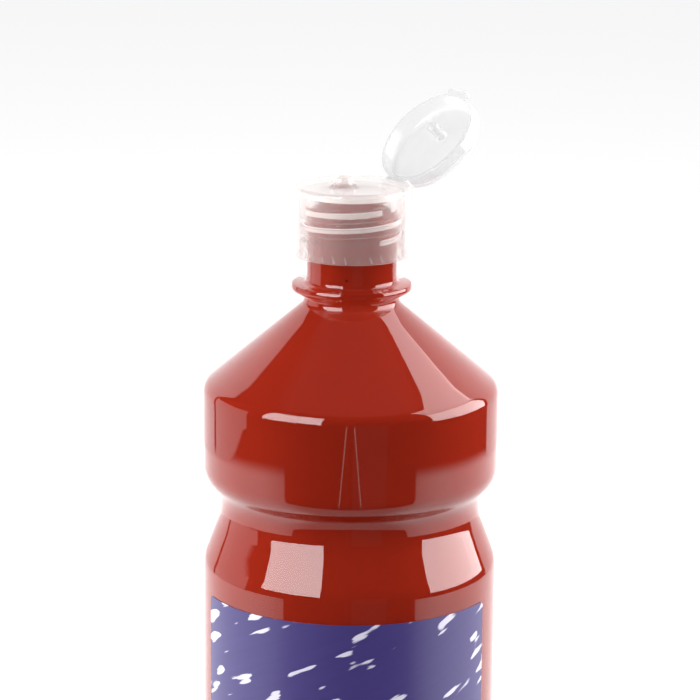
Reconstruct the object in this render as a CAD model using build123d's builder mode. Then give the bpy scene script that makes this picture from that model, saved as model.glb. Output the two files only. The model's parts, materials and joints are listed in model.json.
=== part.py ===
from build123d import *
import math
import os

os.makedirs("parts", exist_ok=True)

# A one litre squeeze bottle of ready-mixed paint with a screw-on flip-top cap.
# Millimetres. The origin is the centre of the base, +Z is up and -Y is the front.

# Neck and thread
ring_top = 225.5           # upper face of the neck support ring
ring_radius = 16.65
ring_edge = 1.85           # height of the ring's rim, from its upper face down
ring_root = 3.6            # where the ring's sloping underside meets the neck
neck_radius = 12.45
neck_foot_radius = 13.35   # neck below the ring
neck_foot_drop = 4.5       # from the ring's upper face down to where the bore starts
bore_radius = 10.85
lip = ring_top + 24.3
thread_pitch = 4.233       # six turns to the inch
thread_crest = 13.75
thread_turns = 2.05
thread_start = -63.0       # angle of the lower end of the neck thread, in degrees
thread_low = ring_top + 12.9
thread_sink = 0.3          # how far a thread's root is buried in its wall
thread_root_half = 1.25    # half the thread's width at its root
cap_thread_root_half = 1.2
thread_crest_half = 0.5

# Body
body_radius = 41.1
waist_radius = 36.35
shoulder_low = ring_top - 28.9
shoulder_high = ring_top - 5.5
waist_corners_below_ring = (54.4, 60.0, 66.0, 78.5)
wall = 0.6
push_up = 6.0              # height of the dome in the base
foot_inner = 29.0
dome_edge = 25.0
heel = 7.0
parting_angle = -91.6      # bearing of the plane where the mould's halves meet
thin_end = 0.70            # share of the shoulder's slope where the wall starts to thicken
fill_level = lip - 3.6

# Labels
label_top = ring_top - 86.3
label_height = 110.0
label_gauge = 0.12
label_corner = 1.5
front_label_centre = -92.6
front_label_half_angle = 66.5
rear_label_centre = 86.8
rear_label_half_angle = 46.0

# Cap
cap_bottom = ring_top + 7.7
deck = ring_top + 27.1
deck_gauge = 1.4
cap_top_radius = 16.1
cap_bottom_radius = 15.85
skirt_inner = 14.45
skirt_mouth = 15.2         # the skirt's mouth flares out to this radius
flare_height = 1.7
mouth_rounds = [0.15, 0.25]
deck_round = 1.0
inner_round = 0.5
cap_thread_crest = 12.95
cap_thread_turns = 1.89
washer_inner = 9.5
washer_outer = 13.6
washer_chamfer = 0.12
seal_gap = 0.04
gusset_count = 26
gusset_inner = 14.05
gusset_gauge = 0.35
gusset_height = 2.0
gusset_middle = cap_bottom + 1.15
gusset_lean = 18.0

# Nozzle, on the far side of the cap from the hinge
nozzle_offset = 3.1
nozzle_base = 5.2
nozzle_tip = 2.45
nozzle_height = 2.6
nozzle_waist = (3.1, 0.95)  # a point on the flank, as its radius and its height above the deck
nozzle_round = 0.15
nozzle_sink = 0.5          # how far the nozzle's foot is buried in the deck
orifice = 2.1
orifice_depth = 2.0
orifice_lead = 0.2
throat = 3.9

# Hinge and lid
hinge_bearing = 37.0       # compass angle of the hinge, from +X towards +Y
hinge_reach = 15.2         # from the bottle's axis to the hinge line
hinge_rise = 0.3           # hinge line above the deck
open_angle = 133.5         # how far the lid stands open
pad_reach = 16.2
pad_half_width = 6.5
pad_drop = 4.2
pad_inset = 1.2            # from the hinge line in to the pad's edge on the deck
pad_top_drop = 1.4         # from the deck down to the pad's upper and lower outer corners
pad_low_drop = 2.4
pad_sink = 0.3             # how far the pad's foot is buried in the skirt
land = 0.2                 # flat strip of deck between the strap's foot and the hinge line
strap_half_width = 4.0
strap_foot = 0.55          # width of the strap where it joins the deck
strap_gauge = 0.45         # thickness of the strap where it joins the lid
lid_radius = 15.2
lid_inner = 14.1
lid_height = 5.6
lid_top_gauge = 1.0
lid_draft = 0.15           # how much narrower the lid is inside at its top than at its rim
lid_rim_round = 0.3
lid_top_round = 2.2
lid_inner_round = 1.3
lid_reach = 15.0           # from the hinge line to the lid's centre
lid_flat = 14.5            # from the lid's centre to the flat beside the hinge
plug_radius = 2.0          # at the plug's root
plug_tip_radius = 1.7      # narrower, so that the plug clears the orifice as the lid swings
plug_bore = 1.2
plug_lead = 0.2
plug_tip = deck - 0.3      # lower end of the plug while the lid is shut
tab_reach = 16.6
tab_half_width = 4.0
tab_height = 1.6
tab_corner = 1.0
tab_sink = 0.6             # how far the tab's root is buried in the lid's wall

clearance = 1.0            # how far a cutting shape runs past the face that it cuts

hinge_angle = math.radians(hinge_bearing)
outward = Vector(math.cos(hinge_angle), math.sin(hinge_angle), 0)
hinge_side = Plane(origin=(0, 0, 0), x_dir=outward, z_dir=outward.cross(Vector(0, 0, 1)))
hinge_point = outward * hinge_reach + Vector(0, 0, deck + hinge_rise)
hinge_axis = Axis(hinge_point, Vector(0, 0, 1).cross(outward))
lid_centre = outward * (hinge_reach - lid_reach)
nozzle_centre = outward * -nozzle_offset


def inset(corners, gap):
    """The corners of an open outline after each straight run moves to its left by gap."""
    runs = []
    for (r0, z0), (r1, z1) in zip(corners, corners[1:]):
        length = math.hypot(r1 - r0, z1 - z0)
        along = ((r1 - r0) / length, (z1 - z0) / length)
        runs.append(((r0 - gap * along[1], z0 + gap * along[0]), along))
    moved = [runs[0][0]]
    for (start, along), (next_start, next_along) in zip(runs, runs[1:]):
        turn = along[0] * next_along[1] - along[1] * next_along[0]
        step_r = next_start[0] - start[0]
        step_z = next_start[1] - start[1]
        reach = (step_r * next_along[1] - step_z * next_along[0]) / turn
        moved.append((start[0] + reach * along[0], start[1] + reach * along[1]))
    along_r, along_z = runs[-1][1]
    end_r, end_z = corners[-1]
    moved.append((end_r - gap * along_z, end_z + gap * along_r))
    return moved


def upright(centre):
    """A plane through a vertical axis, with its own x along +X and its y along +Z."""
    return Plane(origin=(centre.X, centre.Y, 0), x_dir=(1, 0, 0), z_dir=(0, -1, 0))


def thread_plane(path):
    """A plane across the start of a helix, with its x pointing away from the helix's axis."""
    start = path @ 0
    return Plane(origin=start, x_dir=Vector(start.X, start.Y, 0).normalized(), z_dir=path % 0)


def turned(angle, height):
    """A level plane at a height, with its x at an angle about the bottle's axis."""
    bearing = math.radians(angle)
    return Plane(origin=(0, 0, height), x_dir=(math.cos(bearing), math.sin(bearing), 0))


parting = math.radians(parting_angle)
parting_plane = Plane(
    origin=(0, 0, 0),
    x_dir=(math.cos(parting), math.sin(parting), 0),
    z_dir=(math.sin(parting), -math.cos(parting), 0),
)

# The body's outline from the centre of the base up to the neck, as (radius, height).
waist_heights = [ring_top - drop for drop in reversed(waist_corners_below_ring)]
body_corners = [
    (0, push_up),
    (dome_edge, push_up - 1),
    (foot_inner, 0),
    (body_radius, 0),
    (body_radius, waist_heights[0]),
    (waist_radius, waist_heights[1]),
    (waist_radius, waist_heights[2]),
    (body_radius, waist_heights[3]),
    (body_radius, shoulder_low),
    (neck_foot_radius, shoulder_high),
]
body_fillets = [6.0, 1.6, heel, 12.5, 13.5, 8.7, 7.5, 4.5]
neck_corners = [
    (neck_foot_radius, ring_top - ring_root),
    (ring_radius, ring_top - ring_edge),
    (ring_radius, ring_top),
    (neck_radius, ring_top),
    (neck_radius, lip),
]
neck_fillets = [2.0, 0.5, 0.75, 0.6, 1.2, 0.45]

# The inside follows the body one wall away. Its fillets are wider at the waist and narrower
# elsewhere, so that the wall stays even, and the plastic thickens from the shoulder to the neck.
inner_corners = inset(body_corners, wall)
turns_inward = [True, False, True, True, False, False, True, True]
inner_fillets = [
    fillet_radius - wall if inward else fillet_radius + wall
    for fillet_radius, inward in zip(body_fillets, turns_inward)
]
slope_start = inner_corners[-2]
slope_end = inner_corners[-1]
cavity_corners = inner_corners[:-1] + [
    (
        slope_start[0] + thin_end * (slope_end[0] - slope_start[0]),
        slope_start[1] + thin_end * (slope_end[1] - slope_start[1]),
    ),
    (bore_radius, ring_top - neck_foot_drop),
]
cavity_fillets = inner_fillets + [8.0, 3.0]

# Bottle, turned from its mould's parting plane
with BuildPart() as bottle:
    with BuildSketch(parting_plane):
        with BuildLine():
            FilletPolyline(body_corners + neck_corners + [(0, lip)], radius=body_fillets + neck_fillets)
            Line((0, lip), (0, push_up))
        make_face()
    revolve(axis=Axis.Z)
    with BuildSketch(parting_plane):
        with BuildLine():
            FilletPolyline(cavity_corners + [(bore_radius, lip + clearance)], radius=cavity_fillets)
            Polyline((bore_radius, lip + clearance), (0, lip + clearance), cavity_corners[0])
        make_face()
    revolve(axis=Axis.Z, mode=Mode.SUBTRACT)
    with BuildLine(turned(thread_start, thread_low)) as neck_helix:
        Helix(thread_pitch, thread_pitch * thread_turns, neck_radius)
    with BuildSketch(thread_plane(neck_helix.line)) as neck_thread:
        crest = thread_crest - neck_radius
        Polygon(
            (-thread_sink, -thread_root_half),
            (crest, -thread_crest_half),
            (crest, thread_crest_half),
            (-thread_sink, thread_root_half),
            align=None,
        )
    sweep(sections=neck_thread.sketch, path=neck_helix.line, is_frenet=True)
bottle.part.label = "bottle"
export_step(bottle.part, "parts/bottle.step")

# Paint, which fills the bottle to just under the lip
with BuildPart() as paint_fill:
    with BuildSketch(Plane.XZ):
        with BuildLine():
            FilletPolyline(cavity_corners + [(bore_radius, fill_level)], radius=cavity_fillets)
            Polyline((bore_radius, fill_level), (0, fill_level), cavity_corners[0])
        make_face()
    revolve(axis=Axis.Z)
paint_fill.part.label = "paint_fill"
export_step(paint_fill.part, "parts/paint_fill.step")


# Labels, thin printed wraps on the straight part of the body
labels = {
    "front_label": (front_label_centre, front_label_half_angle),
    "rear_label": (rear_label_centre, rear_label_half_angle),
}
for label_name, (centre, half_angle) in labels.items():
    with BuildPart() as label:
        with BuildSketch(turned(centre - half_angle, label_top - label_height)):
            with BuildLine():
                outer = CenterArc((0, 0), body_radius + label_gauge, 0, 2 * half_angle)
                inner = CenterArc((0, 0), body_radius, 0, 2 * half_angle)
                Line(outer @ 0, inner @ 0)
                Line(outer @ 1, inner @ 1)
            make_face()
        extrude(amount=label_height)
        fillet(label.edges().filter_by(GeomType.LINE).sort_by(SortBy.LENGTH)[0:4], label_corner)
    label.part.label = label_name
    export_step(label.part, f"parts/{label_name}.step")

# Sealing washer, between the bottle's lip and the underside of the cap's deck
with BuildPart() as sealing_washer:
    with BuildSketch(Plane.XY.offset(lip + seal_gap)):
        Circle(washer_outer)
        Circle(washer_inner, mode=Mode.SUBTRACT)
    extrude(amount=deck - deck_gauge - lip - 2 * seal_gap)
    chamfer(sealing_washer.edges().filter_by(GeomType.CIRCLE), washer_chamfer)
sealing_washer.part.label = "sealing_washer"
export_step(sealing_washer.part, "parts/sealing_washer.step")

# Cap: skirt, deck, nozzle, inside thread, gussets at the mouth and a pad for the hinge
with BuildPart() as cap_shell:
    with BuildSketch(Plane.XZ):
        with BuildLine():
            FilletPolyline(
                (skirt_inner, cap_bottom + flare_height),
                (skirt_mouth, cap_bottom),
                (cap_bottom_radius, cap_bottom),
                (cap_top_radius, deck),
                (0, deck),
                radius=mouth_rounds + [deck_round],
            )
            FilletPolyline(
                (0, deck - deck_gauge),
                (skirt_inner, deck - deck_gauge),
                (skirt_inner, cap_bottom + flare_height),
                radius=[inner_round],
            )
            Line((0, deck), (0, deck - deck_gauge))
        make_face()
    revolve(axis=Axis.Z)
    with BuildSketch(hinge_side):
        Polygon(
            (hinge_reach - pad_inset, deck),
            (hinge_reach - land, deck),
            (pad_reach, deck - pad_top_drop),
            (pad_reach, deck - pad_low_drop),
            (cap_bottom_radius, deck - pad_drop),
            (hinge_reach - pad_sink, deck - pad_drop),
            align=None,
        )
    extrude(amount=pad_half_width, both=True)
    with BuildSketch(upright(nozzle_centre)):
        with BuildLine():
            flank = ThreePointArc(
                (nozzle_base, deck),
                (nozzle_waist[0], deck + nozzle_waist[1]),
                (nozzle_tip, deck + nozzle_height - nozzle_round),
            )
            Polyline(
                flank @ 1,
                (nozzle_tip - nozzle_round, deck + nozzle_height),
                (0, deck + nozzle_height),
                (0, deck - nozzle_sink),
                (nozzle_base, deck - nozzle_sink),
                flank @ 0,
            )
        make_face()
    revolve(axis=Axis(nozzle_centre, (0, 0, 1)))
    with BuildSketch(upright(nozzle_centre)):
        tip = deck + nozzle_height
        Polygon(
            (0, tip + clearance),
            (orifice + orifice_lead, tip + clearance),
            (orifice + orifice_lead, tip),
            (orifice, tip - orifice_lead),
            (orifice, tip - orifice_depth),
            (throat, deck - deck_gauge),
            (throat, deck - deck_gauge - clearance),
            (0, deck - deck_gauge - clearance),
            align=None,
        )
    revolve(axis=Axis(nozzle_centre, (0, 0, 1)), mode=Mode.SUBTRACT)
    with BuildLine(turned(thread_start, thread_low - thread_pitch / 2)) as cap_helix:
        Helix(thread_pitch, thread_pitch * cap_thread_turns, skirt_inner)
    with BuildSketch(thread_plane(cap_helix.line)) as cap_thread:
        crest = cap_thread_crest - skirt_inner
        Polygon(
            (thread_sink, -cap_thread_root_half),
            (thread_sink, cap_thread_root_half),
            (crest, thread_crest_half),
            (crest, -thread_crest_half),
            align=None,
        )
    sweep(sections=cap_thread.sketch, path=cap_helix.line, is_frenet=True)
    with Locations((0, 0, gusset_middle)):
        with PolarLocations((gusset_inner + skirt_mouth) / 2, gusset_count):
            Box(skirt_mouth - gusset_inner, gusset_gauge, gusset_height, rotation=(gusset_lean, 0, 0))
cap_shell.part.label = "cap_shell"
export_step(cap_shell.part, "parts/cap_shell.step")

# Lid, drawn shut and then swung open about the hinge line
with BuildPart() as lid:
    rim = deck + hinge_rise
    with BuildSketch(upright(lid_centre)):
        with BuildLine():
            FilletPolyline(
                (lid_inner, rim),
                (lid_radius, rim),
                (lid_radius, rim + lid_height),
                (0, rim + lid_height),
                radius=[lid_rim_round, lid_top_round],
            )
            FilletPolyline(
                (0, rim + lid_height - lid_top_gauge),
                (lid_inner - lid_draft, rim + lid_height - lid_top_gauge),
                (lid_inner, rim),
                radius=[lid_inner_round],
            )
            Line((0, rim + lid_height), (0, rim + lid_height - lid_top_gauge))
        make_face()
    revolve(axis=Axis(lid_centre, (0, 0, 1)))
    with BuildSketch(hinge_side):
        flat_at = hinge_reach - lid_reach + lid_flat
        with Locations((flat_at + clearance, rim + lid_height / 2)):
            Rectangle(2 * clearance, lid_height + 2 * clearance)
    extrude(amount=lid_radius, both=True, mode=Mode.SUBTRACT)
    with BuildSketch(upright(nozzle_centre)):
        plug_root = rim + lid_height - lid_top_gauge / 2
        Polygon(
            (plug_bore, plug_tip),
            (plug_tip_radius - plug_lead, plug_tip),
            (plug_tip_radius, plug_tip + plug_lead),
            (plug_radius, plug_root),
            (plug_bore, plug_root),
            align=None,
        )
    revolve(axis=Axis(nozzle_centre, (0, 0, 1)))
    with BuildSketch(Plane(origin=(0, 0, rim), x_dir=outward, z_dir=(0, 0, 1))):
        tab_root = hinge_reach - lid_reach - lid_radius + tab_sink
        with Locations(((tab_root - tab_reach) / 2, 0)):
            RectangleRounded(tab_root + tab_reach, 2 * tab_half_width, tab_corner)
    extrude(amount=tab_height)
lid.part = lid.part.rotate(hinge_axis, open_angle)
lid.part.label = "lid"
export_step(lid.part, "parts/lid.step")

# Living hinge, the thin strap from the edge of the deck to the flat on the open lid
gap = lid_reach - lid_flat
swing = math.radians(open_angle)
lid_edge = (
    hinge_reach - gap * math.cos(swing),
    deck + hinge_rise + gap * math.sin(swing),
)
lid_below_edge = (
    lid_edge[0] + strap_gauge * math.sin(swing),
    lid_edge[1] + strap_gauge * math.cos(swing),
)
with BuildPart() as living_hinge:
    with BuildSketch(hinge_side):
        Polygon(
            (hinge_reach - land - strap_foot, deck),
            (hinge_reach - land, deck),
            lid_below_edge,
            lid_edge,
            align=None,
        )
    extrude(amount=strap_half_width, both=True)
living_hinge.part.label = "living_hinge"
export_step(living_hinge.part, "parts/living_hinge.step")
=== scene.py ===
import json
import math

import bpy
from mathutils import Matrix, Vector


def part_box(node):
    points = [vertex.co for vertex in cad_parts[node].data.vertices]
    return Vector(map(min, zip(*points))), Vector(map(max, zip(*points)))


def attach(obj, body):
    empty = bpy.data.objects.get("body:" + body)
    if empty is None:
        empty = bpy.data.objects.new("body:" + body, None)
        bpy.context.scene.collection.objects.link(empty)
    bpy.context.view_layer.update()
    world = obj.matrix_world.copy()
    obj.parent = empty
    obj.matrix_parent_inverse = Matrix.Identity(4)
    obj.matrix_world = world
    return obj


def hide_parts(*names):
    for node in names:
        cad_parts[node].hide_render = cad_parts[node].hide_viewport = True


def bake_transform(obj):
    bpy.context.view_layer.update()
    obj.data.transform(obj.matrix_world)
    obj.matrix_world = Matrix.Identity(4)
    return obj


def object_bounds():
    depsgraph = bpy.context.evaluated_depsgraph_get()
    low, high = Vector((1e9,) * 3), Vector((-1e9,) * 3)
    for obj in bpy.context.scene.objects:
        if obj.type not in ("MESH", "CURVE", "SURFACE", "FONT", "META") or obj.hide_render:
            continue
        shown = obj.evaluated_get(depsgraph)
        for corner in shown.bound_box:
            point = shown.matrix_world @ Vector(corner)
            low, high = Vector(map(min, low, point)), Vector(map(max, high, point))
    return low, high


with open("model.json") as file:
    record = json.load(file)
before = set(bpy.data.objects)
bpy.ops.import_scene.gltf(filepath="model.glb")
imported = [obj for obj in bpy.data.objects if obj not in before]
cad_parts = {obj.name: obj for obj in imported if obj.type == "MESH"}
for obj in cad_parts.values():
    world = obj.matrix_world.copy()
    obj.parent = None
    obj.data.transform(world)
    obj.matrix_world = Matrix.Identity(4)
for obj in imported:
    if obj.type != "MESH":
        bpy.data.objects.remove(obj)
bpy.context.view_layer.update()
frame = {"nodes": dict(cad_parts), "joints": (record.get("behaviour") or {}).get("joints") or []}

# A one litre squeeze bottle of brick red paint with a clear flip-top cap.
# Outlines are written in millimetres and become metres when a mesh is made.
MM = 0.001

# Driving sizes, from the frame
BODY_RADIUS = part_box("bottle")[1].x / MM
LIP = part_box("bottle")[1].z / MM
RING_TOP = LIP - 24.3
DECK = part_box("living_hinge")[0].z / MM
HINGE = next(j for j in frame["joints"] if j["name"] == "lid_hinge")
LID_SWING = math.radians(-HINGE["range_deg"][0])

# Bottle
RING_RADIUS = 16.65
RING_EDGE = 1.85
RING_ROOT = 3.6
NECK_RADIUS = 12.45
NECK_FOOT_RADIUS = 13.35
NECK_START = RING_TOP + 1     # where the neck's finer mesh begins
BORE_RADIUS = 10.85
LIP_LAND = 0.4                # the outside stops this far short of the bore
WAIST_RADIUS = 36.35
WAIST_BELOW_RING = (78.5, 66.0, 60.0, 54.4)   # depths of its four corners, the lowest first
SHOULDER_LOW = RING_TOP - 28.9
SHOULDER_HIGH = RING_TOP - 5.5
WALL = 0.6
PAINT_IN_WALL = 0.15          # the paint reaches this far into the wall, so no air shows between them
FILL_LEVEL = LIP - 3.6
MENISCUS = 0.6                # the paint's rounded edge at its top
PUSH_UP = 6.0
DOME_EDGE = 25.0
FOOT_INNER = 29.0
HEEL = 7.0
THREAD_PITCH = 4.233
THREAD_TURNS = 2.05
THREAD_START = math.radians(-63.0)
THREAD_LOW = RING_TOP + 12.9
THREAD_DEPTH = 1.3
THREAD_ROOT = 1.25            # half widths of the thread at its root and its crest
THREAD_CREST = 0.5
CREST_HIGHLIGHT_HEIGHTS = (0.7, 1.2)      # heights above the neck where the crest's painted highlight begins and is full
CREST_HIGHLIGHT_WHITE = 0.75            # how white the crest's painted highlight is
THREAD_TAPER = 0.03           # share of a turn over which a thread's end fades
THREAD_ABOVE = 0.5            # the thread's zone starts this far above the ring
CLEAR_OF_BORE = 0.8           # points nearer the bore than this keep their radius
SEAM_ANGLES = (math.radians(-91.6), math.radians(88.4))
SEAM_HEIGHT = 0.035
SEAM_HALF_WIDTH = 0.45
SEAM_NEAR = 3 * SEAM_HALF_WIDTH   # the mesh is finer this far to each side of a seam
SEAM_POINTS = 6               # steps of the finer mesh on each side

# Two fine lines that part downwards on the front of the body
LINES_TOP = RING_TOP - 31.5
LINES_LENGTH = 23.0
LINES_FADE = 3.0              # length over which they fade at their foot
LINES_GAP = 1.1               # half the space between them at their top
LINES_SPREAD = 0.085          # how much each line leans outwards
LINE_WIDTH = 0.30
# how white the two lines are drawn
LINE_WHITENING = 0.07

# Outlines of the body and the neck, from the centre of the base up, as (radius, height)
BODY_CORNERS = [
    (0, PUSH_UP),
    (DOME_EDGE, PUSH_UP - 1),
    (FOOT_INNER, 0),
    (BODY_RADIUS, 0),
    (BODY_RADIUS, RING_TOP - WAIST_BELOW_RING[0]),
    (WAIST_RADIUS, RING_TOP - WAIST_BELOW_RING[1]),
    (WAIST_RADIUS, RING_TOP - WAIST_BELOW_RING[2]),
    (BODY_RADIUS, RING_TOP - WAIST_BELOW_RING[3]),
    (BODY_RADIUS, SHOULDER_LOW),
    (NECK_FOOT_RADIUS, SHOULDER_HIGH),
]
BODY_FILLETS = [6.0, 1.6, HEEL, 12.5, 13.5, 8.7, 7.5, 4.5]
TIGHTER_INSIDE = [True, False, True, True, False, False, True, True]   # which fillets shrink inside
NECK_CORNERS = [
    (NECK_FOOT_RADIUS, RING_TOP - RING_ROOT),
    (RING_RADIUS, RING_TOP - RING_EDGE),
    (RING_RADIUS, RING_TOP),
    (NECK_RADIUS, RING_TOP),
    (NECK_RADIUS, LIP),
    (BORE_RADIUS, LIP),
]
NECK_FILLETS = [2.0, 0.5, 0.75, 0.6, 1.2, 0.45]

# The bore's foot, and the share of the shoulder's run below which the wall stays thin
BORE_FOOT = RING_TOP - 4.5
THIN_END = 0.70
BORE_FILLETS = [8.0, 3.0]

# Strap between the cap and the lid
HINGE_GAP = 0.5               # from the hinge line to the flat on the lid
STRAP_LAND = 0.2              # from the hinge line in to the strap on the deck
STRAP_FOOT = 0.55             # depth of the strap's foot on the deck
STRAP_GAUGE = 0.45            # its thickness at the lid
STRAP_HALF_WIDTH = 4.0
STRAP_STEPS = 8

# Colours, linear
PAINT_DARK = (0.182, 0.0100, 0.0034, 1)
PAINT_LIGHT = (0.202, 0.0116, 0.0040, 1)
PAINT_SPECK = (0.030, 0.0040, 0.0030, 1)
SPECK_CELLS = 90.0            # cells of the speck texture in a metre
SPECK_SIZE = (0.035, 0.022)   # distances from a cell's centre where a speck ends and is full
SPECK_CHANCE = 0.82           # share of the cells that have none
VIOLET_DARK = (0.030, 0.021, 0.108, 1)
VIOLET_LIGHT = (0.042, 0.030, 0.140, 1)
LAVENDER = (0.50, 0.48, 0.58, 1)
STROKE_SLANT = math.radians(-24)
BRISTLE_CELLS = (28.0, 620.0, 1.0)   # cells in a metre along a stroke, across it and through it
DAB_CELLS = (80.0, 230.0, 1.0)
BRISTLE_SHARE = 0.35
FEWEST_STROKES = 0.90         # the noise level that pale ink needs where there are fewest strokes
STROKE_EDGE = 0.03
MORE_STROKES = (0.6, 1.2)     # angles from the front over which the strokes thicken
CAP_MILK = (0.67, 0.625, 0.615, 1)
CAP_TINT = (0.968, 0.950, 0.945, 1)
LID_MILK = (0.53, 0.532, 0.536, 1)
LID_TINT = (0.985, 0.985, 0.987, 1)
TOP_PAINTED_SHADE = 0.66              # painted shade: how much of its milk colour keeps where it faces up
MOST_GLOSS = 0.35             # the plastic's gloss where it is seen edge on

# Mesh steps
ARC_STEP = 0.7                # longest step along a rounded corner
RUN_STEP = 5.0                # longest step along a straight run
INSIDE_ARC_STEP = 1.5
INSIDE_RUN_STEP = 8.0
THREAD_STEP = 0.18
SEGMENTS = 200
ON_AXIS = 1e-6                # a smaller radius than this is taken as none


# ---------------------------------------------------------------- outlines

def rounded(corners, radii, step=ARC_STEP):
    """The points of an open outline whose inner corners are rounded by these radii."""
    points = [Vector(corners[0])]
    for before, corner, after, radius in zip(corners, corners[1:], corners[2:], radii):
        corner = Vector(corner)
        back = (Vector(before) - corner).normalized()
        ahead = (Vector(after) - corner).normalized()
        half = back.angle(ahead) / 2
        centre = corner + (back + ahead).normalized() * (radius / math.sin(half))
        start = corner + back * (radius / math.tan(half)) - centre
        turn = math.pi - 2 * half
        if back.x * ahead.y - back.y * ahead.x > 0:
            turn = -turn
        count = max(2, math.ceil(abs(turn) * radius / step))
        for i in range(count + 1):
            angle = turn * i / count
            across = Vector((start.x * math.cos(angle) - start.y * math.sin(angle),
                             start.x * math.sin(angle) + start.y * math.cos(angle)))
            points.append(centre + across)
    points.append(Vector(corners[-1]))
    return points


def divided(points, step=RUN_STEP):
    """The same outline with no step longer than this."""
    result = [points[0]]
    for before, after in zip(points, points[1:]):
        count = max(1, math.ceil((after - before).length / step))
        result += [before.lerp(after, i / count) for i in range(1, count + 1)]
    return result


def inset(corners, gap):
    """The corners of an open outline after each straight run moves to its left by gap."""
    runs = []
    for before, after in zip(corners, corners[1:]):
        along = (Vector(after) - Vector(before)).normalized()
        runs.append((Vector(before) + gap * Vector((-along.y, along.x)), along))
    moved = [runs[0][0]]
    for (start, along), (other, other_along) in zip(runs, runs[1:]):
        turn = along.x * other_along.y - along.y * other_along.x
        step = other - start
        moved.append(start + along * ((step.x * other_along.y - step.y * other_along.x) / turn))
    along = runs[-1][1]
    moved.append(Vector(corners[-1]) + gap * Vector((-along.y, along.x)))
    return moved


# ---------------------------------------------------------------- meshes

def make_object(name, vertices, faces, material):
    """A smooth mesh object from millimetre vertices."""
    mesh = bpy.data.meshes.new(name)
    mesh.from_pydata([Vector(v) * MM for v in vertices], [], faces)
    mesh.validate()
    piece = bpy.data.objects.new(name, mesh)
    bpy.context.scene.collection.objects.link(piece)
    mesh.materials.append(material)
    for face in mesh.polygons:
        face.use_smooth = True
    mesh.set_sharp_from_angle(angle=math.radians(40))
    return piece


def even_angles(count=SEGMENTS, extra=()):
    """Angles once round the axis, with closer ones about each of the extra angles."""
    angles = [2 * math.pi * i / count for i in range(count)]
    near = SEAM_NEAR / BODY_RADIUS
    for centre in extra:
        centre %= 2 * math.pi
        angles = [a for a in angles if abs(a - centre) > near]
        angles += [centre + near * i / SEAM_POINTS for i in range(-SEAM_POINTS, SEAM_POINTS + 1)]
    return sorted(a % (2 * math.pi) for a in angles)


def lathe(name, outline, material, angles=None, shape=None):
    """A solid turned about the axis from an outline of (radius, height) points.
    The outline ends on the axis at both ends, or it closes on itself.
    shape(angle, radius, height) gives each point's own radius."""
    angles = angles or even_angles()
    vertices = []
    rings = []
    for point in outline:
        if point.x < ON_AXIS:
            rings.append([len(vertices)] * len(angles))
            vertices.append((0, 0, point.y))
            continue
        rings.append(list(range(len(vertices), len(vertices) + len(angles))))
        for angle in angles:
            radius = shape(angle, point.x, point.y) if shape else point.x
            vertices.append((radius * math.cos(angle), radius * math.sin(angle), point.y))
    open_ended = outline[0].x < ON_AXIS
    pairs = list(zip(rings, rings[1:])) if open_ended else list(zip(rings, rings[1:] + rings[:1]))
    faces = []
    for low, high in pairs:
        for i in range(len(angles)):
            j = (i + 1) % len(angles)
            corner = [low[i], low[j], high[j], high[i]]
            face = [v for k, v in enumerate(corner) if v != corner[k - 1]]
            faces.append(face)
    return make_object(name, vertices, faces, material)


def smooth_step(value):
    """0 below 0, 1 above 1, and smooth in between."""
    value = max(0.0, min(1.0, value))
    return value * value * (3 - 2 * value)


def thread_height(angle, height, low, turns, start=THREAD_START):
    """How much of its full depth a helical thread has at an angle and a height, from 0 to 1."""
    part = ((angle - start) / (2 * math.pi)) % 1
    best = 0.0
    for whole in range(-1, math.ceil(turns) + 1):
        turn = part + whole
        if not 0 <= turn <= turns:
            continue
        away = abs(height - low - THREAD_PITCH * turn)
        rise = smooth_step((THREAD_ROOT - away) / (THREAD_ROOT - THREAD_CREST))
        ends = smooth_step(min(turn, turns - turn) / THREAD_TAPER)
        best = max(best, rise * ends)
    return best


# ---------------------------------------------------------------- materials

def new_tree(name):
    """A new node material, its tree and its output node."""
    material = bpy.data.materials.new(name)
    material.use_nodes = True
    material.node_tree.nodes.clear()
    return material, material.node_tree, material.node_tree.nodes.new("ShaderNodeOutputMaterial")


def put(tree, kind, inputs=None, **settings):
    """A node with its settings and inputs. An input is a value or another node's output."""
    made = tree.nodes.new("ShaderNode" + kind)
    for name, value in settings.items():
        setattr(made, name, value)
    for key, value in (inputs or {}).items():
        if isinstance(value, bpy.types.NodeSocket):
            tree.links.new(value, made.inputs[key])
        else:
            made.inputs[key].default_value = value
    return made


def calculate(tree, operation, first, second=0.0, third=0.0):
    """The output of a Math node."""
    return put(tree, "Math", {0: first, 1: second, 2: third}, operation=operation).outputs[0]


def ramp(tree, value, low, high, out_low=0.0, out_high=1.0):
    """Value taken smoothly from one range to another, and held at its ends."""
    made = put(tree, "MapRange", {0: value, 1: low, 2: high, 3: out_low, 4: out_high},
               interpolation_type="SMOOTHSTEP")
    return made.outputs[0]


def blend_colours(tree, share, first, second):
    """The output of a colour mix."""
    made = put(tree, "Mix", {0: share, 6: first, 7: second}, data_type="RGBA")
    return made.outputs[2]


def azimuth_of(tree, x, y):
    """Angle in radians round the object from the camera's side, positive to the right."""
    return calculate(tree, "ARCTAN2", x, calculate(tree, "MULTIPLY", y, -1.0))


def noise(tree, place, scale=1.0, detail=3.0, roughness=0.5):
    """A noise texture at this place."""
    settings = {"Vector": place, "Scale": scale, "Detail": detail, "Roughness": roughness}
    return put(tree, "TexNoise", settings).outputs[0]


def object_noise(tree, scale, stretch=(1, 1, 1), detail=3.0, roughness=0.5):
    """A noise texture over the object's own coordinates."""
    place = put(tree, "TexCoord").outputs["Object"]
    scaled = put(tree, "Mapping", {"Vector": place, "Scale": stretch}).outputs[0]
    return noise(tree, scaled, scale, detail, roughness)


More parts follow.
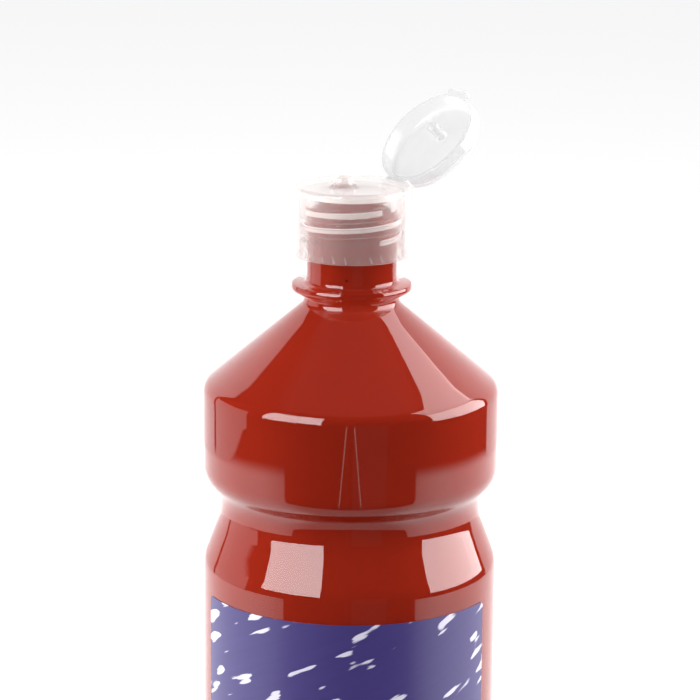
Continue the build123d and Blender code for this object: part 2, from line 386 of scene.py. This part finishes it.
def bumped(tree, height, strength, distance):
    """The normal of a surface with this height map."""
    return put(tree, "Bump", {"Strength": strength, "Distance": distance, "Height": height}).outputs[0]


def front_lines(tree):
    """Where the two fine lines run down the front of the body, from 0 to 1."""
    place = put(tree, "SeparateXYZ", {0: put(tree, "TexCoord").outputs["Object"]})
    drop = calculate(tree, "SUBTRACT", LINES_TOP * MM, place.outputs[2])
    apart = calculate(tree, "MULTIPLY_ADD", drop, LINES_SPREAD, LINES_GAP * MM)
    away = calculate(tree, "SUBTRACT", calculate(tree, "ABSOLUTE", place.outputs[0]), apart)
    line = ramp(tree, calculate(tree, "ABSOLUTE", away), LINE_WIDTH * MM, 0.0)
    below_top = ramp(tree, drop, -MM, 0.0)
    above_foot = ramp(tree, drop, LINES_LENGTH * MM, (LINES_LENGTH - LINES_FADE) * MM)
    inside = calculate(tree, "MULTIPLY", below_top, above_foot)
    front = calculate(tree, "LESS_THAN", place.outputs[1], 0.0)
    return calculate(tree, "MULTIPLY", line, calculate(tree, "MULTIPLY", inside, front))


def crest_painted_highlight(tree):
    """Where the crest of the neck's thread gets a painted white highlight, from 0 to 1."""
    place = put(tree, "SeparateXYZ", {0: put(tree, "TexCoord").outputs["Object"]})
    axis = put(tree, "CombineXYZ", {0: place.outputs[0], 1: place.outputs[1]}).outputs[0]
    radius = put(tree, "VectorMath", {0: axis}, operation="LENGTH").outputs[1]
    flank, top = [(NECK_RADIUS + depth) * MM for depth in CREST_HIGHLIGHT_HEIGHTS]
    crest = ramp(tree, radius, flank, top, 0.0, CREST_HIGHLIGHT_WHITE)
    above = calculate(tree, "GREATER_THAN", place.outputs[2], NECK_START * MM)
    return calculate(tree, "MULTIPLY", crest, above)


def clear_pet():
    """Clear bottle plastic. Lamps shine through it on to the paint."""
    material, tree, output = new_tree("clear_pet")
    waves = object_noise(tree, 30.0, stretch=(1, 1, 0.6), detail=1.0)
    glass = put(tree, "BsdfPrincipled", {
        "Base Color": (0.97, 0.98, 0.98, 1), "Roughness": 0.02, "IOR": 1.57,
        "Transmission Weight": 1.0, "Normal": bumped(tree, waves, 0.08, 0.0004)})
    white_layer = put(tree, "BsdfDiffuse", {"Color": (0.8, 0.78, 0.77, 1)})
    # The white diffuse laid over the glass carries the two front lines and a painted highlight on the
    # thread's crest
    white_share = calculate(tree, "MULTIPLY_ADD", front_lines(tree), LINE_WHITENING, crest_painted_highlight(tree))
    plastic = put(tree, "MixShader", {0: white_share, 1: glass.outputs[0], 2: white_layer.outputs[0]})
    passing = put(tree, "BsdfTransparent", {"Color": (0.93, 0.93, 0.93, 1)})
    path = put(tree, "LightPath")
    through = calculate(tree, "MAXIMUM", path.outputs["Is Shadow Ray"], path.outputs["Is Diffuse Ray"])
    mixed = put(tree, "MixShader", {0: through, 1: plastic.outputs[0], 2: passing.outputs[0]})
    tree.links.new(mixed.outputs[0], output.inputs["Surface"])
    return material


def specks(tree):
    """A few dark specks, where the texture's cells are drawn by chance."""
    place = put(tree, "TexCoord").outputs["Object"]
    cells = put(tree, "TexVoronoi", {"Vector": place, "Scale": SPECK_CELLS})
    chance = put(tree, "SeparateXYZ", {0: cells.outputs["Color"]}).outputs[0]
    dot = ramp(tree, cells.outputs["Distance"], *SPECK_SIZE)
    return calculate(tree, "MULTIPLY", dot, calculate(tree, "GREATER_THAN", chance, SPECK_CHANCE))


def red_paint():
    """Brick red paint, seen through the wall that it wets."""
    material, tree, output = new_tree("brick_red_paint")
    cloud = object_noise(tree, 14.0, detail=4.0)
    red = blend_colours(tree, ramp(tree, cloud, 0.35, 0.65), PAINT_DARK, PAINT_LIGHT)
    red = blend_colours(tree, specks(tree), red, PAINT_SPECK)
    paint = put(tree, "BsdfPrincipled", {
        "Base Color": red, "Roughness": 0.7, "Specular IOR Level": 0.0})
    tree.links.new(paint.outputs[0], output.inputs["Surface"])
    return material


def milky(tree, milk, normal):
    """Light scattered both ways by cloudy plastic, with painted shade: less of it where the surface faces
    up.
    """
    upward = put(tree, "SeparateXYZ", {0: put(tree, "NewGeometry").outputs["Normal"]}).outputs[2]
    # painted shade: the milk colour darkens on upward faces, which the light from above makes too bright
    shaded = [level * TOP_PAINTED_SHADE for level in milk[:3]] + [1]
    colour = blend_colours(tree, ramp(tree, upward, 0.3, 0.9), milk, shaded)
    white = put(tree, "BsdfDiffuse", {"Color": colour, "Normal": normal})
    glow = put(tree, "BsdfTranslucent", {"Color": colour, "Normal": normal})
    return put(tree, "MixShader", {0: 0.5, 1: white.outputs[0], 2: glow.outputs[0]}).outputs[0]


def outer_gloss(tree, normal):
    """How much gloss a surface shows from outside. From inside it shows none."""
    shine = put(tree, "Fresnel", {"IOR": 1.45, "Normal": normal}).outputs[0]
    outer = calculate(tree, "SUBTRACT", 1.0, put(tree, "NewGeometry").outputs["Backfacing"])
    return calculate(tree, "MULTIPLY", calculate(tree, "MINIMUM", shine, MOST_GLOSS), outer)


def natural_pp(name, milk, tint, haze_low, haze_high, roughness):
    """Uncoloured polypropylene, clearer face on and milkier edge on.
    Its haze runs from haze_low face on to haze_high edge on."""
    material, tree, output = new_tree(name)
    grain = object_noise(tree, 420.0, detail=2.0)
    flow = object_noise(tree, 60.0, stretch=(1, 1, 0.3), detail=2.0)
    normal = bumped(tree, calculate(tree, "MULTIPLY_ADD", grain, 0.05, flow), 0.08, 0.0005)
    facing = put(tree, "LayerWeight", {"Blend": 0.4, "Normal": normal}).outputs["Facing"]
    uneven = ramp(tree, flow, 0.3, 0.7, 0.85, 1.15)
    white_share = calculate(tree, "MULTIPLY", ramp(tree, facing, 0.0, 1.0, haze_low, haze_high), uneven)
    clear = put(tree, "BsdfTransparent", {"Color": tint})
    body = put(tree, "MixShader", {0: white_share, 1: clear.outputs[0], 2: milky(tree, milk, normal)})
    gloss = put(tree, "BsdfAnisotropic", {"Color": (1, 1, 1, 1), "Roughness": roughness, "Normal": normal})
    mixed = put(tree, "MixShader", {0: outer_gloss(tree, normal), 1: body.outputs[0], 2: gloss.outputs[0]})
    tree.links.new(mixed.outputs[0], output.inputs["Surface"])
    return material


def foam_washer():
    """Pale foamed seal with fine pores."""
    material, tree, output = new_tree("foam_washer")
    pores = object_noise(tree, 2600.0, detail=2.0)
    colour = blend_colours(tree, ramp(tree, pores, 0.35, 0.6), (0.72, 0.71, 0.69, 1), (0.86, 0.86, 0.85, 1))
    foam = put(tree, "BsdfPrincipled", {
        "Base Color": colour, "Roughness": 0.75, "Subsurface Weight": 0.15, "Subsurface Scale": 0.0008,
        "Normal": bumped(tree, pores, 0.3, 0.0001)})
    tree.links.new(foam.outputs[0], output.inputs["Surface"])
    return material


def label_place(tree):
    """The angle round the body from its front, and the surface laid flat along the strokes' slant."""
    place = put(tree, "SeparateXYZ", {0: put(tree, "TexCoord").outputs["Object"]})
    angle = azimuth_of(tree, place.outputs[0], place.outputs[1])
    round_body = calculate(tree, "MULTIPLY", angle, BODY_RADIUS * MM)
    flat = put(tree, "CombineXYZ", {0: round_body, 1: place.outputs[2]}).outputs[0]
    slanted = put(tree, "Mapping", {"Vector": flat, "Rotation": (0, 0, STROKE_SLANT)}).outputs[0]
    return angle, slanted


def label_film(name, strokes):
    """Printed violet film. A greater strokes, from 0 to 1, gives it more pale brush strokes."""
    material, tree, output = new_tree(name)
    angle, slanted = label_place(tree)
    streaks = put(tree, "Mapping", {"Vector": slanted, "Scale": BRISTLE_CELLS}).outputs[0]
    bristles = noise(tree, streaks, detail=4.0, roughness=0.65)
    patches = put(tree, "Mapping", {"Vector": slanted, "Scale": DAB_CELLS}).outputs[0]
    dabs = noise(tree, patches, detail=1.0)
    side = ramp(tree, calculate(tree, "ABSOLUTE", angle), *MORE_STROKES, 0.0, 0.12)
    cover = calculate(tree, "ADD", dabs, side)
    cover = calculate(tree, "ADD", cover, calculate(tree, "MULTIPLY", bristles, BRISTLE_SHARE))
    threshold = FEWEST_STROKES - 0.1 * strokes
    stroke = ramp(tree, cover, threshold, threshold + STROKE_EDGE)
    violet = blend_colours(tree, bristles, VIOLET_DARK, VIOLET_LIGHT)
    colour = blend_colours(tree, stroke, violet, LAVENDER)
    film = put(tree, "BsdfPrincipled", {
        "Base Color": colour, "Roughness": 0.35, "Coat Weight": 0.1, "Coat Roughness": 0.15,
        "Normal": bumped(tree, bristles, 0.05, 0.0001)})
    tree.links.new(film.outputs[0], output.inputs["Surface"])
    return material


# ---------------------------------------------------------------- pieces

def cavity_corners(gap):
    """The inside of the bottle, one gap in from the outside, up to the foot of the bore."""
    corners = inset(BODY_CORNERS, gap)
    thick = corners[-2].lerp(corners[-1], THIN_END)
    return corners[:-1] + [thick, Vector((BORE_RADIUS + WALL - gap, BORE_FOOT))]


def cavity_fillets(gap):
    """The fillets of that outline."""
    moved = [r - gap if tighter else r + gap for r, tighter in zip(BODY_FILLETS, TIGHTER_INSIDE)]
    return moved + BORE_FILLETS


def bottle_shape(angle, radius, height):
    """A point's own radius, where the neck's thread and the two mould seams stand out."""
    if height > RING_TOP + THREAD_ABOVE and radius > BORE_RADIUS + CLEAR_OF_BORE:
        return radius + THREAD_DEPTH * thread_height(angle, height, THREAD_LOW, THREAD_TURNS)
    if height > RING_TOP - RING_ROOT or height < HEEL:
        return radius
    seam = 0.0
    for centre in SEAM_ANGLES:
        away = abs((angle - centre + math.pi) % (2 * math.pi) - math.pi) * radius
        seam = max(seam, smooth_step(1 - away / SEAM_HALF_WIDTH))
    return radius + SEAM_HEIGHT * seam - SEAM_HEIGHT


def make_bottle():
    """The blown bottle, with its wall, neck, thread and mould seams."""
    outside = divided(rounded(BODY_CORNERS + NECK_CORNERS, BODY_FILLETS + NECK_FILLETS))
    neck = [p for p in outside if p.y > NECK_START and p.x > BORE_RADIUS + LIP_LAND]
    body = [p for p in outside if p.y <= NECK_START]
    neck = divided([body[-1]] + neck, THREAD_STEP)[1:]
    corners = cavity_corners(WALL) + [(BORE_RADIUS, LIP)]
    inside = divided(rounded(corners, cavity_fillets(WALL), INSIDE_ARC_STEP), INSIDE_RUN_STEP)
    outline = body + neck + inside[::-1]
    piece = lathe("bottle_shell", outline, clear_pet(), even_angles(extra=SEAM_ANGLES), bottle_shape)
    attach(piece, "bottle")
    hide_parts("bottle")


def make_paint():
    """The paint, which wets the whole wall and stands to just under the lip."""
    gap = WALL - PAINT_IN_WALL
    bore = BORE_RADIUS + PAINT_IN_WALL
    corners = cavity_corners(gap) + [(bore, FILL_LEVEL), (0, FILL_LEVEL)]
    side = rounded(corners, cavity_fillets(gap) + [MENISCUS])
    piece = lathe("paint", divided(side), red_paint())
    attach(piece, "bottle")
    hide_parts("paint_fill")


def keep_cad(node, material):
    """Gives a CAD node that stays in view its finish."""
    piece = frame["nodes"][node]
    piece.data.materials.clear()
    piece.data.materials.append(material)


def strap_ends():
    """The strap's edges on the deck and on the open lid, each as its upper and lower line."""
    outward = Vector((HINGE["axis"][1], -HINGE["axis"][0], 0))
    line = Vector(HINGE["pos_m"]) / MM
    up = Vector((0, 0, 1))
    to_lid = -math.cos(LID_SWING) * outward + math.sin(LID_SWING) * up
    under_lid = math.sin(LID_SWING) * outward + math.cos(LID_SWING) * up
    lid_top = line + HINGE_GAP * to_lid
    lid_low = lid_top + STRAP_GAUGE * under_lid
    deck_low = line - STRAP_LAND * outward
    deck_low.z = DECK
    deck_top = deck_low - STRAP_FOOT * outward
    return deck_top, deck_low, lid_top, lid_low


def make_hinge():
    """The thin strap from the deck's edge to the open lid."""
    deck_top, deck_low, lid_top, lid_low = strap_ends()
    side = STRAP_HALF_WIDTH * Vector(HINGE["axis"])
    vertices = []
    for i in range(STRAP_STEPS + 1):
        share = i / STRAP_STEPS
        for edge in (deck_top.lerp(lid_top, share), deck_low.lerp(lid_low, share)):
            vertices += [edge - side, edge + side]
    last = 4 * STRAP_STEPS
    faces = [(0, 1, 3, 2), (last, last + 2, last + 3, last + 1)]
    for first in range(0, last, 4):
        for a, b in ((0, 2), (2, 3), (3, 1), (1, 0)):
            faces.append((first + a, first + b, first + 4 + b, first + 4 + a))
    material = natural_pp("hinge_plastic", LID_MILK, LID_TINT, 0.2, 0.6, 0.2)
    strap = make_object("hinge_strap", vertices, faces, material)
    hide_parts("living_hinge")
    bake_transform(strap)


# ---------------------------------------------------------------- stage

CAMERA_TARGET = Vector((-0.00032, 0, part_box("lid")[1].z - 0.0699))
CAMERA_DISTANCE = 0.9
CAMERA_ELEVATION = math.radians(13.38)
CAMERA_ROLL = math.radians(0.45)
CAMERA_LENS = 166.5
AIM = Vector((0, 0, 0.17))       # the softboxes stand round this point
SOFTBOX_AWAY = 1.0

# Light levels, where 1 shows as white, and where the studio's walls and table stand
ROOM_LIGHT = 0.03
CEILING_LIGHT = 0.14
CEILING_FROM = (0.80, 0.92)      # sines of the elevations where the ceiling begins
BACKDROP_LIGHT = 1.4
BACKDROP_FROM = math.radians(130)
BOARD_LIGHT = 1.15
BOARD_FROM = math.radians(-127)
BOARD_TO = math.radians(-86)
BOARD_NORMAL = (0.885, -0.466)   # across the board's foot, on the floor
BOARD_AWAY = 0.664
BOARD_TOP = (0.22, 0.18)         # sines of the elevations where the board ends
TABLE_LIGHT = 1.72
TABLE_RADIUS = 0.685
TABLE_FRONT = 0.165              # the table is cut away past this, between its two sides
TABLE_SIDE = (math.radians(49.5), math.radians(51.5))
TABLE_SHADE = 0.7                # the front's light level, and the angles over which it rises
TABLE_SHADE_ENDS = (math.radians(35), math.radians(75))
WINDOW_LIGHT = 0.09
WINDOW = (math.radians(2), math.radians(28))
EDGE = 0.01                      # softness of the edges on the floor, in metres or radians
FLOOR_LIGHT = 1.06
FLOOR_GLOW = 0.78                # how much of the floor that the camera sees is glow
FLOOR_RADIUS = 9.0
FLOOR_SIDES = 96


def make_camera():
    """A long lens at the photograph's viewing angle."""
    data = bpy.data.cameras.new("camera")
    data.lens = CAMERA_LENS
    data.sensor_width = 36
    data.clip_start = 0.01
    data.clip_end = 50
    camera = bpy.data.objects.new("camera", data)
    back = Vector((0, -math.cos(CAMERA_ELEVATION), math.sin(CAMERA_ELEVATION)))
    camera.rotation_mode = "QUATERNION"
    turn = (-back).to_track_quat("-Z", "Y").to_matrix() @ Matrix.Rotation(CAMERA_ROLL, 3, "Z")
    camera.rotation_quaternion = turn.to_quaternion()
    camera.location = CAMERA_TARGET + back * CAMERA_DISTANCE
    bpy.context.scene.collection.objects.link(camera)
    bpy.context.scene.camera = camera


def softbox(name, azimuth, half_width, low, high, radiance, reflected=True):
    """An upright softbox, given in degrees as the bottle sees it. The azimuth is from the camera's
    side, positive to the right. low and high are the elevations of its two ends."""
    foot = SOFTBOX_AWAY * math.tan(math.radians(low))
    top = SOFTBOX_AWAY * math.tan(math.radians(high))
    data = bpy.data.lights.new(name, "AREA")
    data.shape = "RECTANGLE"
    data.size = 2 * SOFTBOX_AWAY * math.tan(math.radians(half_width))
    data.size_y = top - foot
    data.energy = 4 * radiance * data.size * data.size_y
    light = bpy.data.objects.new(name, data)
    bearing = math.radians(azimuth)
    side = Vector((math.sin(bearing), -math.cos(bearing), 0))
    light.location = AIM + side * SOFTBOX_AWAY + Vector((0, 0, (foot + top) / 2))
    light.rotation_euler = (-side).to_track_quat("-Z", "Y").to_euler()
    light.visible_camera = False
    light.visible_transmission = False
    light.visible_glossy = reflected
    bpy.context.scene.collection.objects.link(light)


def ceiling(radiance, size, height, back):
    """A soft light overhead, which doesn't show in reflections."""
    data = bpy.data.lights.new("ceiling", "AREA")
    data.shape = "DISK"
    data.size = size
    data.energy = 4 * radiance * math.pi * size * size / 4
    light = bpy.data.objects.new("ceiling", data)
    light.location = (0, back, height)
    light.visible_camera = False
    light.visible_transmission = False
    light.visible_glossy = False
    bpy.context.scene.collection.objects.link(light)


def between(tree, value, low, high, soft):
    """1 where a value lies between two limits, with soft ends."""
    above = ramp(tree, value, low - soft, low + soft)
    below = ramp(tree, value, high + soft, high - soft)
    return calculate(tree, "MULTIPLY", above, below)


def surroundings(tree, azimuth):
    """Light that the studio's walls send: a white backdrop behind and a board on the left."""
    soft = math.radians(1.0)
    wide = calculate(tree, "ABSOLUTE", azimuth)
    backdrop = ramp(tree, wide, BACKDROP_FROM - soft, BACKDROP_FROM + soft, ROOM_LIGHT, BACKDROP_LIGHT)
    board = between(tree, azimuth, BOARD_FROM, BOARD_TO, soft)
    return backdrop, calculate(tree, "MULTIPLY", board, BOARD_LIGHT)


def make_world():
    """The studio around the object. The camera sees it as plain white."""
    world = bpy.data.worlds.new("studio")
    bpy.context.scene.world = world
    world.use_nodes = True
    tree = world.node_tree
    tree.nodes.clear()
    way = put(tree, "SeparateXYZ", {0: put(tree, "TexCoord").outputs["Generated"]})
    azimuth = azimuth_of(tree, way.outputs[0], way.outputs[1])
    backdrop, board = surroundings(tree, azimuth)
    low = ramp(tree, way.outputs[2], *BOARD_TOP)
    level = calculate(tree, "MAXIMUM", backdrop, calculate(tree, "MULTIPLY", board, low))
    overhead = ramp(tree, way.outputs[2], *CEILING_FROM)
    level = put(tree, "Mix", {0: overhead, 2: level, 3: CEILING_LIGHT}).outputs[0]
    path = put(tree, "LightPath")
    seen = calculate(tree, "MAXIMUM", path.outputs["Is Camera Ray"], path.outputs["Is Transmission Ray"])
    strength = put(tree, "Mix", {0: seen, 2: level, 3: 1.0}).outputs[0]
    shine = put(tree, "Background", {"Color": (1, 1, 1, 1), "Strength": strength})
    output = put(tree, "OutputWorld")
    tree.links.new(shine.outputs[0], output.inputs["Surface"])


def table_top(tree, depth, azimuth):
    """Light from a round white table that is open at the front."""
    place = put(tree, "TexCoord").outputs["Object"]
    away = put(tree, "VectorMath", {0: place}, operation="LENGTH").outputs[1]
    wide = calculate(tree, "ABSOLUTE", azimuth)
    side = ramp(tree, wide, *TABLE_SIDE)
    close = ramp(tree, depth, -TABLE_FRONT - EDGE, -TABLE_FRONT)
    rim = ramp(tree, away, TABLE_RADIUS + 1.5 * EDGE, TABLE_RADIUS - 1.5 * EDGE)
    table = calculate(tree, "MULTIPLY", calculate(tree, "MAXIMUM", side, close), rim)
    shaded = ramp(tree, wide, *TABLE_SHADE_ENDS, TABLE_SHADE, TABLE_LIGHT)
    return calculate(tree, "MULTIPLY", table, shaded)


def reflected_floor(tree):
    """Light that glossy and diffuse rays find on the floor: the table and the studio's walls."""
    place = put(tree, "SeparateXYZ", {0: put(tree, "TexCoord").outputs["Object"]})
    azimuth = azimuth_of(tree, place.outputs[0], place.outputs[1])
    table = table_top(tree, place.outputs[1], azimuth)
    window = calculate(tree, "MULTIPLY", between(tree, azimuth, *WINDOW, EDGE), WINDOW_LIGHT)
    backdrop, board = surroundings(tree, azimuth)
    across = calculate(tree, "MULTIPLY", place.outputs[0], BOARD_NORMAL[0])
    outside = calculate(tree, "MULTIPLY_ADD", place.outputs[1], BOARD_NORMAL[1], across)
    beyond = ramp(tree, outside, -BOARD_AWAY + EDGE, -BOARD_AWAY - EDGE)
    board = calculate(tree, "MULTIPLY", board, beyond)
    walls = calculate(tree, "MAXIMUM", calculate(tree, "MAXIMUM", backdrop, board), window)
    return calculate(tree, "MAXIMUM", table, walls)


def floor_material():
    """A pale floor, almost white, that keeps a soft shadow."""
    material, tree, output = new_tree("pale_floor")
    path = put(tree, "LightPath")
    unseen = calculate(tree, "MAXIMUM", path.outputs["Is Glossy Ray"], path.outputs["Is Diffuse Ray"])
    level = put(tree, "Mix", {0: unseen, 2: FLOOR_LIGHT, 3: reflected_floor(tree)}).outputs[0]
    shine = put(tree, "Emission", {"Color": (1, 1, 1, 1), "Strength": level})
    matt = put(tree, "BsdfDiffuse", {"Color": (0.86, 0.86, 0.86, 1)})
    share = put(tree, "Mix", {0: unseen, 2: FLOOR_GLOW, 3: 1.0}).outputs[0]
    mixed = put(tree, "MixShader", {0: share, 1: matt.outputs[0], 2: shine.outputs[0]})
    tree.links.new(mixed.outputs[0], output.inputs["Surface"])
    return material


def make_floor():
    """A wide round floor that the bottle stands on."""
    radius = FLOOR_RADIUS / MM
    rim = [(radius * math.cos(a), radius * math.sin(a), 0) for a in even_angles(FLOOR_SIDES)]
    floor = make_object("floor", rim, [list(range(len(rim)))], floor_material())
    floor.location.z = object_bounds()[0].z


# ---------------------------------------------------------------- scene

make_bottle()
make_paint()
keep_cad("front_label", label_film("front_print", 0.7))
keep_cad("rear_label", label_film("rear_print", 0.3))
keep_cad("sealing_washer", foam_washer())
keep_cad("cap_shell", natural_pp("cap_plastic", CAP_MILK, CAP_TINT, 0.15, 0.55, 0.2))
keep_cad("lid", natural_pp("lid_plastic", LID_MILK, LID_TINT, 0.14, 0.5, 0.15))
make_hinge()
make_camera()
make_world()
make_floor()
softbox("softbox_left", azimuth=-46, half_width=24, low=-1, high=42, radiance=5.8)
softbox("softbox_right", azimuth=94, half_width=30, low=-6, high=34, radiance=5.3)
softbox("softbox_right_top", azimuth=98, half_width=32, low=34.5, high=58, radiance=3.0)
softbox("fill_left", azimuth=-98, half_width=34, low=-8, high=45, radiance=2.8, reflected=False)
softbox("fill_right", azimuth=95, half_width=32, low=-8, high=45, radiance=1.8, reflected=False)
ceiling(radiance=1.2, size=2.0, height=1.8, back=0.1)
bpy.context.scene.view_settings.view_transform = "Standard"
bpy.context.scene.cycles.transparent_max_bounces = 24
